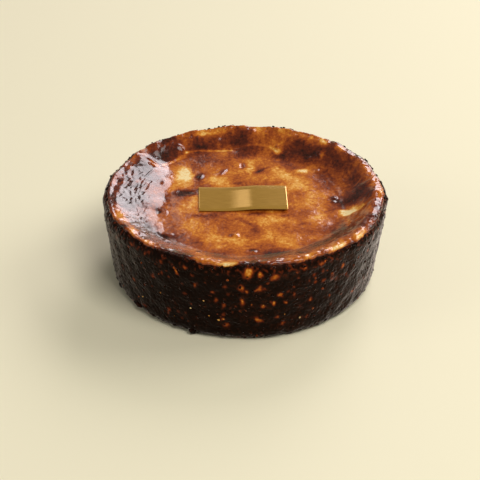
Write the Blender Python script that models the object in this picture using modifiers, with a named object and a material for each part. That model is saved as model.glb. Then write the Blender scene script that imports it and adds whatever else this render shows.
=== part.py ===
"""A whole burnt-top cheesecake, with a bare gold label lying in its sunken top.

Run it with: blender --background --python part.py, or from Blender's text editor.
Units are metres, +Z is up, and the cake stands on the origin, centred over it.

The cake is one solid. A profile is turned into the round body: a sunken dish, a rolled rim, a
wall that narrows downwards and a flat base. Soft relief then makes it as uneven as a baked
cake, and the largest crumbs of its dark coat are fused to the wall, the rim and the foot.
"""

import math
import random

import bpy
import bmesh
from mathutils import Matrix, Vector, noise

MM = 0.001

# Driving dimensions of the cake
CAKE_RADIUS = 100 * MM  # at its widest, just under the rim
CAKE_HEIGHT = 63.4 * MM  # to the crest of the rim
BASE_RADIUS = 92.4 * MM  # where the wall would meet the ground
WIDEST_HEIGHT = 56 * MM  # the level of CAKE_RADIUS
CREST_RADIUS = 96 * MM  # the highest line of the rim
DISH_RADIUS = 67 * MM  # the nearly level floor of the sunken top
DISH_SINK = 10.7 * MM  # from the crest of the rim down to that floor
PAST_CREST = 3 * MM  # the top's rise would end this far past the crest, which leaves a soft edge
SLOPE_START = 56.5 * MM  # at its left, the top rises in one straight slope from here
SLOPE_START_FRONT = 64 * MM  # and from here at its front
SLOPE_END = 93 * MM  # to here
SLOPE_BLEND = 4 * MM  # and both ends of that slope are rounded over this much each way
SLOPE_BACK = (0.72, 1.0)  # cosines of the angles off the left where it starts and is full: behind
SLOPE_FRONT = (0.7, 1.0)  # and in front
LEVEL_FURTHER = 8 * MM  # behind its left, the floor of the top stays level this much further
LEVEL_TOWARDS = math.radians(118)
LEVEL_COSINES = (0.866, 0.966)  # of the angles off that direction where it starts and is full
SHOULDER_START = 80 * MM  # at its right, the rim is higher from here
SHOULDER_TOP = 91 * MM  # to here, and droops outwards past this
SHOULDER_END = 99 * MM
SHOULDER_RISE = 2.0 * MM
SHOULDER_DROP = 2.2 * MM
SHOULDER_TOWARDS = math.radians(18)
SHOULDER_COSINES = (0.55, 0.9)  # of the angles off that direction where it starts and is full
FOOT_ROUNDING = 7.3 * MM  # radius of the edge between wall and base
BASE_LEAN = (0.4 * MM, 1.3 * MM)  # the base sits this far towards -X and -Y of the rim
RIM_TILT = 1.3 * MM  # the rim rises by this on one side and drops by it on the other
RIM_TILT_TOWARDS = math.radians(-24)
RIM_TILT_DEPTH = 16 * MM  # the tilt fades out this far below the widest level

# How finely the round body is divided
STEPS_ROUND = 112
DISH_RINGS = 11
SLOPE_RINGS = 6
RIM_RINGS = 6
WALL_ROWS = 12
FOOT_ROWS = 2

# Relief: how far the surface wanders, and the size of the lumps
RIM_LUMP = 1.3 * MM
RIM_LUMP_SIZE = 15 * MM
RIM_LUMP_DEPTH = 8 * MM  # the rim's lumps fade out this far below the widest level
LEFT_LUMPS_FROM = 88 * MM  # the rim's lumps start here on the straight left slope
WALL_LUMP = 0.8 * MM
WALL_LUMP_SIZE = 9 * MM
DISH_SWELL = 0.4 * MM
DISH_SWELL_SIZE = 22 * MM

# Blisters and pits of the burnt top: (x, y, radius, height), where a negative height is a pit
BLISTERS = [
    (-49 * MM, 11 * MM, 9 * MM, 1.2 * MM),
    (-24 * MM, -53 * MM, 8 * MM, 1.1 * MM),
    (5 * MM, -61 * MM, 8 * MM, -1.3 * MM),
    (-56 * MM, -44 * MM, 8 * MM, -1.4 * MM),
    (50 * MM, 62 * MM, 13 * MM, 1.6 * MM),
    (74 * MM, 11 * MM, 11 * MM, 1.4 * MM),
    (-27 * MM, 75 * MM, 11 * MM, -1.3 * MM),
]

# The crumbs that stand out of the coat
CRUMB_SEED = 12
CRUMB_SMALLEST = 1.9 * MM  # half a crumb's length
CRUMB_LARGEST = 4.0 * MM
WALL_CRUMBS = 66
RIM_CRUMBS = 18
FOOT_CRUMBS = 16
CRUMB_MARGIN = 4 * MM  # the wall's crumbs keep this far from its foot and from the rim
CRUMB_SUNK = 0.35  # how far a crumb's middle lies inside the wall, in half thicknesses

# The label, a strip of stiff foil card
LABEL_LENGTH = 63 * MM
LABEL_WIDTH = 33 * MM
LABEL_THICKNESS = 0.5 * MM
LABEL_CENTRE = (-1.3 * MM, 5 * MM)
LABEL_TURN = math.radians(2)
LABEL_BENDS = [  # (distance along the card from its middle, how high it stands there)
    (-31.5 * MM, 0.4 * MM),
    (-20 * MM, 0.1 * MM),
    (-12 * MM, 0.05 * MM),
    (-6 * MM, 0.25 * MM),
    (0.0, 0.75 * MM),
    (7 * MM, 1.5 * MM),
    (16 * MM, 1.45 * MM),
    (31.5 * MM, 1.2 * MM),
]
LABEL_COLUMNS = 30
CALM_RADIUS = 44 * MM  # the dish is smooth round the label as far as this
CALM_BLEND = 15 * MM  # and its swell grows over this distance
GAP = 0.3 * MM  # between two pieces that touch

MERGE_DISTANCE = 0.01 * MM


def clear_scene():
    """Empties the scene of objects and collections."""
    for old in list(bpy.data.objects):
        bpy.data.objects.remove(old, do_unlink=True)
    for old in list(bpy.data.collections):
        bpy.data.collections.remove(old)


def new_collection(name):
    """A collection under the scene."""
    collection = bpy.data.collections.new(name)
    bpy.context.scene.collection.children.link(collection)
    return collection


def new_material(name, colour, roughness, metallic=0.0):
    """A plain Principled material."""
    material = bpy.data.materials.new(name)
    material.use_nodes = True
    shader = material.node_tree.nodes["Principled BSDF"]
    shader.inputs["Base Color"].default_value = (*colour, 1.0)
    shader.inputs["Roughness"].default_value = roughness
    shader.inputs["Metallic"].default_value = metallic
    material.diffuse_color = (*colour, 1.0)
    return material


def ease(value, start, end):
    """0 before start, 1 after end, and a smooth turn between them."""
    share = min(1.0, max(0.0, (value - start) / (end - start)))
    return share * share * (3 - 2 * share)


def spread(start, end, count):
    """count numbers from start to end, leaving end out."""
    return [start + (end - start) * i / count for i in range(count)]


def rise(radius, floor_radius=DISH_RADIUS):
    """How far the top has risen at a distance from the middle: 0 on the floor, 1 at the crest."""
    full = ease(CREST_RADIUS, floor_radius, CREST_RADIUS + PAST_CREST)
    return ease(radius, floor_radius, CREST_RADIUS + PAST_CREST) / full


def top_height(radius):
    """The level of the sunken top at a distance from the middle, as far out as the crest."""
    return CAKE_HEIGHT - DISH_SINK * (1 - rise(radius))


def leftward(x, y, radius):
    """1 on the left side of the cake, fading to 0 towards its back and its front."""
    front = ease(-y / max(radius, MM), 0.0, 0.4)
    start, full = (b + (f - b) * front for b, f in zip(SLOPE_BACK, SLOPE_FRONT))
    return ease(-x / max(radius, MM), start, full)


def left_slope(x, y, radius):
    """How much higher the top is at its left, where it rises in a straight slope."""
    if radius >= CREST_RADIUS:
        return 0.0
    start = SLOPE_START + (SLOPE_START_FRONT - SLOPE_START) * ease(-y / max(radius, MM), 0.0, 0.3)
    near = spread(radius - SLOPE_BLEND, radius + SLOPE_BLEND, 10)
    risen = [min(1.0, max(0.0, (r - start) / (SLOPE_END - start))) for r in near]
    return DISH_SINK * (sum(risen) / len(risen) - rise(radius)) * leftward(x, y, radius)


def level_further(x, y, radius):
    """How much lower the top is behind its left, where its floor reaches nearer to the rim."""
    if radius >= CREST_RADIUS:
        return 0.0
    lower = rise(radius, DISH_RADIUS + LEVEL_FURTHER) - rise(radius)
    return DISH_SINK * lower * ease(math.cos(math.atan2(y, x) - LEVEL_TOWARDS), *LEVEL_COSINES)


def wall_radius(height):
    """The straight wall's distance from the middle at a height."""
    return BASE_RADIUS + (CAKE_RADIUS - BASE_RADIUS) * height / WIDEST_HEIGHT


def cake_profile():
    """(radius, height) of the turned outline, from the middle of the top out, down and back in."""
    dish = [(r, top_height(r)) for r in spread(0.0, DISH_RADIUS, DISH_RINGS)]
    slope = [(r, top_height(r)) for r in spread(DISH_RADIUS, CREST_RADIUS, SLOPE_RINGS)]
    roll = CAKE_RADIUS - CREST_RADIUS
    drop = CAKE_HEIGHT - WIDEST_HEIGHT
    rim = [
        (CREST_RADIUS + roll * math.sin(turn), WIDEST_HEIGHT + drop * math.cos(turn))
        for turn in spread(0.0, math.pi / 2, RIM_RINGS)
    ]
    wall = [(wall_radius(z), z) for z in spread(WIDEST_HEIGHT, FOOT_ROUNDING, WALL_ROWS)]
    foot_middle = wall_radius(FOOT_ROUNDING) - FOOT_ROUNDING
    foot = [
        (
            foot_middle + FOOT_ROUNDING * math.cos(turn),
            FOOT_ROUNDING - FOOT_ROUNDING * math.sin(turn),
        )
        for turn in spread(0.0, math.pi / 2, FOOT_ROWS)
    ]
    return [*dish, *slope, *rim, *wall, *foot, (foot_middle, 0.0), (0.0, 0.0)]


def turned_mesh(name, profile):
    """The closed mesh that a profile sweeps when it is turned about Z."""
    line = bpy.data.meshes.new(name + "_profile")
    line.from_pydata([(r, 0.0, z) for r, z in profile], [(i, i + 1) for i in range(len(profile) - 1)], [])
    holder = bpy.data.objects.new(name + "_profile", line)
    bpy.context.scene.collection.objects.link(holder)
    screw = holder.modifiers.new("turn", "SCREW")
    screw.axis = "Z"
    screw.angle = math.tau
    screw.steps = screw.render_steps = STEPS_ROUND
    screw.use_merge_vertices = True
    screw.merge_threshold = MERGE_DISTANCE
    screw.use_smooth_shade = True
    graph = bpy.context.evaluated_depsgraph_get()
    mesh = bpy.data.meshes.new_from_object(holder.evaluated_get(graph))
    mesh.name = name
    bpy.data.objects.remove(holder)
    return mesh


def wander(point, size, layer):
    """Smooth noise from about -1 to 1 whose lumps have this size. Each layer is another pattern."""
    return noise.noise(Vector(point) / size + Vector((layer * 17.3, layer * 5.1, layer * 9.7)))


def relief(point):
    """How far the surface stands out at a point of the even shape."""
    x, y, z = point
    radius = math.hypot(x, y)
    below_rim = z <= WIDEST_HEIGHT and radius > BASE_RADIUS - 2 * FOOT_ROUNDING
    on_wall = 1.0 if below_rim else ease(radius, CREST_RADIUS, CAKE_RADIUS)
    lumps_from = DISH_RADIUS + (LEFT_LUMPS_FROM - DISH_RADIUS) * leftward(x, y, radius)
    on_rim = ease(radius, lumps_from, CREST_RADIUS)
    on_rim *= ease(z, WIDEST_HEIGHT - RIM_LUMP_DEPTH, WIDEST_HEIGHT)
    in_dish = ease(radius, CALM_RADIUS, CALM_RADIUS + CALM_BLEND) * (1 - on_wall)
    rim = wander(point, RIM_LUMP_SIZE, 41) + 0.5 * wander(point, RIM_LUMP_SIZE / 2, 42)
    wall = wander(point, WALL_LUMP_SIZE, 30)
    dish = wander(point, DISH_SWELL_SIZE, 4)
    out = on_rim * RIM_LUMP * rim + on_wall * WALL_LUMP * wall + in_dish * DISH_SWELL * dish
    if z > CAKE_HEIGHT - DISH_SINK - MERGE_DISTANCE:
        out += left_slope(x, y, radius) + level_further(x, y, radius)
        out += sum(
            height * (1 - ease(math.hypot(x - at_x, y - at_y), 0.0, size))
            for at_x, at_y, size, height in BLISTERS
        )
    return out


def rim_rise(point):
    """How far the tilt of the rim lifts a point. The dish, the lower wall and the base keep level."""
    towards = math.cos(math.atan2(point.y, point.x) - RIM_TILT_TOWARDS)
    share = ease(math.hypot(point.x, point.y), DISH_RADIUS, CREST_RADIUS)
    return RIM_TILT * towards * share * ease(point.z, WIDEST_HEIGHT - RIM_TILT_DEPTH, WIDEST_HEIGHT)


def shoulder(point):
    """How far the rim's right side is lifted: it rises sooner than the rest and droops outwards."""
    radius = math.hypot(point.x, point.y)
    towards = math.cos(math.atan2(point.y, point.x) - SHOULDER_TOWARDS)
    if radius < CREST_RADIUS:
        above_wall = 1.0 if point.z > WIDEST_HEIGHT / 2 else 0.0
    else:
        above_wall = ease(point.z, WIDEST_HEIGHT, CAKE_HEIGHT)
    lift = SHOULDER_RISE * ease(radius, SHOULDER_START, SHOULDER_TOP)
    lift -= SHOULDER_DROP * ease(radius, SHOULDER_TOP, SHOULDER_END)
    return lift * ease(towards, *SHOULDER_COSINES) * above_wall


def shape_cake(mesh):
    """Moves the turned mesh's points out and in by the relief, and leans it. The base stays flat."""
    for vertex in mesh.vertices:
        point = vertex.co.copy()
        on_base = point.z < MERGE_DISTANCE
        out = Vector((point.x, point.y, 0.0)).normalized() if on_base else vertex.normal.copy()
        edge = math.hypot(point.x, point.y) > BASE_RADIUS / 2
        if edge or not on_base:
            point += out * relief(vertex.co)
        point.z += rim_rise(vertex.co) + shoulder(vertex.co)
        point.x -= BASE_LEAN[0] * (1 - vertex.co.z / WIDEST_HEIGHT)
        point.y -= BASE_LEAN[1] * (1 - vertex.co.z / WIDEST_HEIGHT)
        vertex.co = point


def crumb(name, place, outward, half_length, rng):
    """One angular crumb, turned at random, whose thin side points out of the wall."""
    bpy.ops.mesh.primitive_ico_sphere_add(subdivisions=1, radius=1.0)
    made = bpy.context.object
    made.name = name
    for vertex in made.data.vertices:
        vertex.co *= rng.uniform(0.8, 1.15)
    thick = half_length * rng.uniform(0.5, 0.75)
    wide = half_length * rng.uniform(0.6, 1.0)
    sizes = Matrix.Diagonal((half_length, wide, thick, 1.0))
    spin = Matrix.Rotation(rng.uniform(0.0, math.tau), 4, "Z")
    facing = outward.to_track_quat("Z", "Y").to_matrix().to_4x4()
    middle = place - outward * thick * CRUMB_SUNK
    made.data.transform(Matrix.Translation(middle) @ facing @ spin @ sizes)
    return made


def crumb_places(rng):
    """(angle, height, share of full size) of each crumb, spread evenly round the cake."""
    places = []
    for i in range(WALL_CRUMBS):
        turns = (i * 0.618034) % 1.0  # the golden section keeps neighbours apart
        level = (i + rng.random()) / WALL_CRUMBS
        lowest, highest = FOOT_ROUNDING + CRUMB_MARGIN, WIDEST_HEIGHT - CRUMB_MARGIN
        height = lowest + level * (highest - lowest)
        places.append((turns * math.tau, height, rng.uniform(0.0, 1.0)))
    for i in range(RIM_CRUMBS):
        turns = (i + rng.uniform(-0.35, 0.35)) / RIM_CRUMBS
        places.append((turns * math.tau, CAKE_HEIGHT - 3.5 * MM, rng.uniform(0.0, 0.5)))
    for i in range(FOOT_CRUMBS):
        turns = (i + rng.uniform(-0.35, 0.35)) / FOOT_CRUMBS
        places.append((turns * math.tau, FOOT_ROUNDING + 2.5 * MM, rng.uniform(0.0, 0.7)))
    return places


def surface_at(body, angle, height):
    """The point of the cake's side straight out at an angle and height, and the way it faces."""
    inward = Vector((-math.cos(angle), -math.sin(angle), 0.0))
    start = Vector((0.0, 0.0, height)) - inward * CAKE_RADIUS * 2
    hit, place, normal, _ = body.ray_cast(start, inward)
    if not hit:
        raise ValueError("a crumb's place lies above the rim")
    return place, normal


def fuse_crumbs(body):
    """Joins the crumbs of the coat to the cake in one union."""
    rng = random.Random(CRUMB_SEED)
    crumbs = new_collection("crumbs_to_fuse")
    for number, (angle, height, share) in enumerate(crumb_places(rng)):
        place, outward = surface_at(body, angle, height)
        half_length = CRUMB_SMALLEST + share * (CRUMB_LARGEST - CRUMB_SMALLEST)
        made = crumb(f"crumb_{number}", place, outward, half_length, rng)
        for holder in list(made.users_collection):
            holder.objects.unlink(made)
        crumbs.objects.link(made)
    union = body.modifiers.new("fuse_crumbs", "BOOLEAN")
    union.operation = "UNION"
    union.operand_type = "COLLECTION"
    union.collection = crumbs
    union.solver = "MANIFOLD"
    graph = bpy.context.evaluated_depsgraph_get()
    fused = bpy.data.meshes.new_from_object(body.evaluated_get(graph))
    body.modifiers.clear()
    body.data = fused
    for used in list(crumbs.objects):
        bpy.data.objects.remove(used)
    bpy.data.collections.remove(crumbs)


def centre_over_origin(mesh):
    """Slides a mesh level so that its outline is centred over the origin. Returns the slide."""
    xs = [vertex.co.x for vertex in mesh.vertices]
    ys = [vertex.co.y for vertex in mesh.vertices]
    slide = Vector((-(min(xs) + max(xs)) / 2, -(min(ys) + max(ys)) / 2, 0.0))
    mesh.transform(Matrix.Translation(slide))
    return slide


def finish_shading(mesh, sharp_angle):
    """Smooth shading that keeps the edges sharper than an angle."""
    mesh.shade_smooth()
    mesh.set_sharp_from_angle(angle=sharp_angle)


def make_cake(collection):
    """The cake's one solid, and how far it was slid to stand on the origin."""
    mesh = turned_mesh("cheesecake", cake_profile())
    shape_cake(mesh)
    body = bpy.data.objects.new("cheesecake", mesh)
    collection.objects.link(body)
    bpy.context.view_layer.update()
    fuse_crumbs(body)
    slide = centre_over_origin(body.data)
    baked_top = new_material("baked_top", (0.42, 0.14, 0.03), 0.35)
    dark_coat = new_material("dark_crumb_coat", (0.03, 0.013, 0.008), 0.55)
    body.data.materials.clear()
    body.data.materials.append(baked_top)
    body.data.materials.append(dark_coat)
    for face in body.data.polygons:
        outside = math.hypot(face.center.x, face.center.y) > CREST_RADIUS - 2 * MM
        low = face.center.z < CAKE_HEIGHT - 4 * MM
        face.material_index = 1 if (outside and low) or face.normal.z < -0.5 else 0
    finish_shading(body.data, math.radians(40))
    return body, slide


def label_lift(along):
    """How high the bent card stands at a distance along it from its middle."""
    for (start, low), (end, high) in zip(LABEL_BENDS, LABEL_BENDS[1:]):
        if along <= end:
            return low + (high - low) * (along - start) / (end - start)
    return LABEL_BENDS[-1][1]


def make_label(collection, slide):
    """The strip of gold card, bent across its length, just clear of the dish's floor."""
    lower_face = CAKE_HEIGHT - DISH_SINK + GAP
    graph = bmesh.new()
    bmesh.ops.create_grid(graph, x_segments=LABEL_COLUMNS, y_segments=2, size=0.5)
    for vertex in graph.verts:
        along = vertex.co.x * LABEL_LENGTH
        vertex.co = (along, vertex.co.y * LABEL_WIDTH, label_lift(along))
    mesh = bpy.data.meshes.new("gold_label")
    graph.to_mesh(mesh)
    graph.free()
    card = bpy.data.objects.new("gold_label", mesh)
    collection.objects.link(card)
    thicken = card.modifiers.new("card_thickness", "SOLIDIFY")
    thicken.thickness = LABEL_THICKNESS
    thicken.offset = 1.0
    card.location = Vector((*LABEL_CENTRE, lower_face)) + slide
    card.rotation_euler = (0.0, 0.0, LABEL_TURN)
    mesh.materials.append(new_material("gold_foil", (0.60, 0.42, 0.14), 0.35, 1.0))
    finish_shading(mesh, math.radians(40))
    return card


def main():
    clear_scene()
    parts = new_collection("basque_cheesecake")
    _, slide = make_cake(parts)
    make_label(parts, slide)


main()
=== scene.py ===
# %% [markdown]
# # A whole burnt-top cheesecake
#
# This lesson dresses a round cheesecake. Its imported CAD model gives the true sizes: a solid cake
# 200 mm across with a sunken top, and a strip of gold card lying in it. We bake on the looks:
# a glossy top that runs from cream to black, a coat of charred crumbs, and a gold foil label.
# The finished pieces are in metres and stand on the origin, with +Z up.

import math

import bpy
import numpy as np
from mathutils import Matrix, Vector, noise


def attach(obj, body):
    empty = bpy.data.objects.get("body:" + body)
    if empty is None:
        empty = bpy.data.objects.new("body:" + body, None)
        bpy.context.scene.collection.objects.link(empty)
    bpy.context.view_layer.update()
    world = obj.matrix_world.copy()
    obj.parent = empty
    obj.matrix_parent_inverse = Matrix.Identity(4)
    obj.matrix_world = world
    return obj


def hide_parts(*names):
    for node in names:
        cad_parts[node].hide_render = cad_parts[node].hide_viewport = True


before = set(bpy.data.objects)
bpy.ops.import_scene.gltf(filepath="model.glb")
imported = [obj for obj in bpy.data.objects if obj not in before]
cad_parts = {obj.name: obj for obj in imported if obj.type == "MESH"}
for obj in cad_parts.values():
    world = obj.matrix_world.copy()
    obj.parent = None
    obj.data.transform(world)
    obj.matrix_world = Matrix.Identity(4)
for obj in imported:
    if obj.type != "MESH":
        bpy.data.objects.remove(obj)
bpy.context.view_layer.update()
MM = 0.001
print("CAD nodes:", sorted(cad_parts))

# %% [markdown]
# ## Camera
#
# The picture is taken from well above the table with a long lens, so the rim's ellipse is open.
# A constraint could aim the camera. We make its matrix from a place, a tilt and a small roll,
# because each of them can then be changed alone until the ellipse matches.

# %% Place the camera
eye = Vector((-3.44, -1072.37, 693.45)) * MM
tilt_up = math.radians(90 - 32.07)
roll = math.radians(0.65)

camera_data = bpy.data.cameras.new("view")
camera_data.lens = 131.6
camera_data.sensor_width = 36
camera_data.clip_start = 0.05
camera = bpy.data.objects.new("view", camera_data)
bpy.context.scene.collection.objects.link(camera)
camera.matrix_world = (
    Matrix.Translation(eye) @ Matrix.Rotation(tilt_up, 4, "X") @ Matrix.Rotation(roll, 4, "Z")
)
bpy.context.scene.camera = camera
print("camera at", tuple(round(v, 3) for v in eye))

# %% [markdown]
# ## Helpers for shapes
#
# Baked surfaces are uneven at several sizes at once. They could be sculpted by hand, but rules
# can be repeated and changed. A few helpers hold them: an ease between two values, a noise that
# drifts over the surface, and spots and lines with soft edges. The last three tell where a
# point lies on a round cake. All of them work on whole arrays of points, which keeps dense
# meshes quick. Sizes are in millimetres until a mesh gets its points.


# %% Ease, noise and spots
NEXT_LAYER = np.array((17.3, 5.1, 9.7))  # how far apart two layers of noise lie in it


def ease(value, start, end):
    """0 before start, 1 after end, and a smooth turn between them."""
    share = np.clip((np.asarray(value, float) - start) / (end - start), 0, 1)
    return share * share * (3 - 2 * share)


def drift(points, size, layer):
    """Noise at each point, with lumps of this size. Each layer is another pattern."""
    spots = np.asarray(points) / size + layer * NEXT_LAYER
    return np.array([noise.noise(Vector(spot)) for spot in spots])


def oval(across, up, middle, size, turn=0.0):
    """How much each point is in an oval spot, 0 to 1. The oval is turned by degrees."""
    c, s = math.cos(math.radians(turn)), math.sin(math.radians(turn))
    dx, dy = across - middle[0], up - middle[1]
    along, aside = (dx * c + dy * s) / size[0], (dy * c - dx * s) / size[1]
    return np.exp(-(along**2 + aside**2) ** 1.3)


def near_line(across, up, corners, width):
    """1 on a line through these corners, fading to 0 at about its width."""
    nearest = np.full(len(across), 1e9)
    for (ax, ay), (bx, by) in zip(corners, corners[1:]):
        ux, uy = bx - ax, by - ay
        px, py = across - ax, up - ay
        share = np.clip((px * ux + py * uy) / (ux * ux + uy * uy), 0, 1)
        nearest = np.minimum(nearest, np.hypot(px - share * ux, py - share * uy))
    return np.exp(-((nearest / width) ** 2))


def radius_of(points):
    """Each point's distance from the axis."""
    return np.hypot(points[:, 0], points[:, 1])


def facing(points, direction):
    """The cosine of the angle between each point's side of the cake and a direction."""
    return np.cos(np.arctan2(points[:, 1], points[:, 0]) - direction)


def turn_from(turn, direction):
    """How far round the axis each turn is from a direction, from -pi to pi."""
    return (turn - direction + math.pi) % math.tau - math.pi


# %% [markdown]
# ## Helpers for Blender
#
# Operators change whatever is selected or in edit mode, so they need a clean start. These
# helpers deselect everything, name what was just added, read and write a mesh's points as
# arrays, and store a number on every point for a material to read.


# %% Selection, points and attributes
def deselect_all():
    """Leaves edit mode and deselects every object."""
    if bpy.context.object and bpy.context.object.mode != "OBJECT":
        bpy.ops.object.mode_set(mode="OBJECT")
    bpy.ops.object.select_all(action="DESELECT")


def take(name):
    """Names the object that was just added, and its mesh."""
    piece = bpy.context.object
    piece.name = piece.data.name = name
    return piece


def read_points(piece):
    """A piece's points as an array with a row of x, y, z for each."""
    flat = np.empty(len(piece.data.vertices) * 3)
    piece.data.vertices.foreach_get("co", flat)
    return flat.reshape(-1, 3)


def write_points(piece, points):
    """Moves a piece's points to the rows of an array, from millimetres to metres."""
    piece.data.vertices.foreach_set("co", (points * MM).ravel())
    piece.data.update()


def store(piece, name, values, rest=0.0):
    """Stores one number for each point, for the materials. Points past the values get the rest."""
    full = np.full(len(piece.data.vertices), rest, np.float32)
    full[: len(values)] = values
    piece.data.attributes.new(name, "FLOAT", "POINT").data.foreach_set("value", full)


def triangles(piece):
    """How many triangles a piece has."""
    return sum(len(face.vertices) - 2 for face in piece.data.polygons)


# %% [markdown]
# ## The cake's outline
#
# The cake is round, so one outline describes it: a nearly level dish, a slope up to the crest
# of the rim, a roll over the rim, a wall that narrows a little downwards, and a rounded foot. The
# numbers are those of the CAD model. The outline could be spun into a mesh. We keep it as arrays
# instead, because any point of the skin is then found by two values: how far along the outline
# it lies, and its angle round the axis.

# %% Outline from the middle of the top to the foot
CAKE_RADIUS, CREST_RADIUS, DISH_RADIUS, BASE_RADIUS = 100, 96, 67, 92.4
CAKE_HEIGHT, WIDEST_HEIGHT, DISH_SINK, FOOT_ROUNDING = 63.4, 56, 10.7, 7.3
PAST_CREST = 3  # the rise would end this far past the crest, which leaves a soft edge
TOP_POINTS, TURN_POINTS, WALL_POINTS = 400, 60, 120  # how finely the outline is drawn


def rise(radius, dish_radius):
    """How far the top has risen from its dish to its crest, 0 to 1."""
    full = ease(CREST_RADIUS, dish_radius, CREST_RADIUS + PAST_CREST)
    return ease(radius, dish_radius, CREST_RADIUS + PAST_CREST) / full


def outline_points():
    """(radius, height) along the outline, close together, from the middle to the foot."""
    inside = np.linspace(0, CREST_RADIUS, TOP_POINTS)
    dish = CAKE_HEIGHT - DISH_SINK * (1 - rise(inside, DISH_RADIUS))
    turn = np.linspace(0, math.pi / 2, TURN_POINTS)[1:]
    roll_out = CREST_RADIUS + (CAKE_RADIUS - CREST_RADIUS) * np.sin(turn)
    roll_down = WIDEST_HEIGHT + (CAKE_HEIGHT - WIDEST_HEIGHT) * np.cos(turn)
    wall = np.linspace(WIDEST_HEIGHT, FOOT_ROUNDING, WALL_POINTS)[1:]
    foot = FOOT_ROUNDING * (1 - np.sin(turn))
    slope = (CAKE_RADIUS - BASE_RADIUS) / WIDEST_HEIGHT
    wall_radius = BASE_RADIUS + slope * wall
    foot_radius = BASE_RADIUS + slope * foot - FOOT_ROUNDING * (1 - np.cos(turn))
    return (
        np.concatenate((inside, roll_out, wall_radius, foot_radius)),
        np.concatenate((dish, roll_down, wall, foot)),
    )


outline_radius, outline_height = outline_points()
outline_length = np.concatenate(
    ([0], np.cumsum(np.hypot(np.diff(outline_radius), np.diff(outline_height))))
)
LENGTH_TO_CREST = outline_length[TOP_POINTS - 1]
LENGTH_TO_FOOT = outline_length[-1]


def on_outline(length, turn):
    """Points of the even shape, and the directions out of it, by length and angle."""
    radius = np.interp(length, outline_length, outline_radius)
    height = np.interp(length, outline_length, outline_height)
    along_r = np.interp(length, outline_length, np.gradient(outline_radius, outline_length))
    along_z = np.interp(length, outline_length, np.gradient(outline_height, outline_length))
    points = np.column_stack((radius * np.cos(turn), radius * np.sin(turn), height))
    out = np.column_stack((-along_z * np.cos(turn), -along_z * np.sin(turn), along_r))
    return points, out


print(f"outline: {LENGTH_TO_CREST:.1f} mm to the crest, {LENGTH_TO_FOOT:.1f} mm in all")

# %% [markdown]
# ## The cake's large unevenness
#
# A baked cake isn't perfectly round: its rim waves, its wall bulges and its dish swells. The
# CAD model has that form, made with Blender's own noise. Its mesh is too coarse to copy, so we
# repeat its rules, and the dressed cake fills the same solid. Some rules change the top by
# direction: at the left a straight slope starts nearer the middle, behind the left the floor
# reaches nearer to the rim, and at the right the rim has a shoulder that rises sooner and
# droops outwards.


# %% Relief shared with the CAD model
RIM_LUMP, RIM_LUMP_SIZE, RIM_LUMP_DEPTH = 1.3, 15, 8  # depth: how far down it goes
WALL_LUMP, WALL_LUMP_SIZE = 0.8, 9
DISH_SWELL, DISH_SWELL_SIZE = 0.4, 22
CALM_RADIUS, CALM_BLEND = 44, 15  # the dish is smooth as far as this round the label
LEFT_LUMPS_FROM = 88  # the rim's lumps start here on the straight left slope
SLOPE_START, SLOPE_START_FRONT, SLOPE_END, SLOPE_BLEND = 56.5, 64, 93, 4
SLOPE_COSINE, SLOPE_COSINE_FRONT = 0.72, 0.70  # of the angle off the left where the slope starts
LEVEL_FURTHER, LEVEL_TOWARDS = 8, math.radians(118)  # the wider floor behind the left
LEVEL_COSINES = (0.866, 0.966)  # of how far off that direction it starts and is full
SHOULDER_START, SHOULDER_TOP, SHOULDER_END = 80, 91, 99
SHOULDER_RISE, SHOULDER_DROP, SHOULDER_TOWARDS = 2.0, 2.2, math.radians(18)
SHOULDER_COSINES = (0.55, 0.9)  # the same for the shoulder
RIM_TILT, RIM_TILT_TOWARDS = 1.3, math.radians(-24)  # the rim is higher at the right
RIM_TILT_DEPTH = 16  # the tilt fades out this far below the widest level
BASE_LEAN = np.array((0.4, 1.3, 0.0))  # the base sits this far from under the rim
CENTRE = np.array((-0.37, -0.30, 0.0))  # where the CAD model's axis stands


def leftward(points):
    """1 on the left side of the cake, fading to 0 towards its back and its front."""
    radius = np.maximum(radius_of(points), 1)
    front = ease(-points[:, 1] / radius, 0.0, 0.4)
    start = SLOPE_COSINE + (SLOPE_COSINE_FRONT - SLOPE_COSINE) * front
    return ease(-points[:, 0] / radius, start, 1.0)


def large_relief(points):
    """How far the CAD model's surface stands out at points of the even shape."""
    radius, height = radius_of(points), points[:, 2]
    below_rim = (height <= WIDEST_HEIGHT) & (radius > BASE_RADIUS - 2 * FOOT_ROUNDING)
    on_wall = np.where(below_rim, 1.0, ease(radius, CREST_RADIUS, CAKE_RADIUS))
    lumps_from = DISH_RADIUS + (LEFT_LUMPS_FROM - DISH_RADIUS) * leftward(points)
    on_rim = ease(radius, lumps_from, CREST_RADIUS)
    on_rim = on_rim * ease(height, WIDEST_HEIGHT - RIM_LUMP_DEPTH, WIDEST_HEIGHT)
    in_dish = ease(radius, CALM_RADIUS, CALM_RADIUS + CALM_BLEND) * (1 - on_wall)
    rim = drift(points, RIM_LUMP_SIZE, 41) + 0.5 * drift(points, RIM_LUMP_SIZE / 2, 42)
    wall = drift(points, WALL_LUMP_SIZE, 30)
    dish = drift(points, DISH_SWELL_SIZE, 4)
    return on_rim * RIM_LUMP * rim + on_wall * WALL_LUMP * wall + in_dish * DISH_SWELL * dish


def left_slope(points):
    """How much higher the top is at its left, where it rises in a straight slope."""
    radius = radius_of(points)
    front = ease(-points[:, 1] / np.maximum(radius, 1), 0.0, 0.3)
    start = (SLOPE_START + (SLOPE_START_FRONT - SLOPE_START) * front)[:, None]
    near = radius[:, None] + np.linspace(-1, 1, 11) * SLOPE_BLEND
    straight = np.clip((near - start) / (SLOPE_END - start), 0, 1).mean(axis=1)
    inside = radius < CREST_RADIUS
    return DISH_SINK * (straight - rise(radius, DISH_RADIUS)) * leftward(points) * inside


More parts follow.
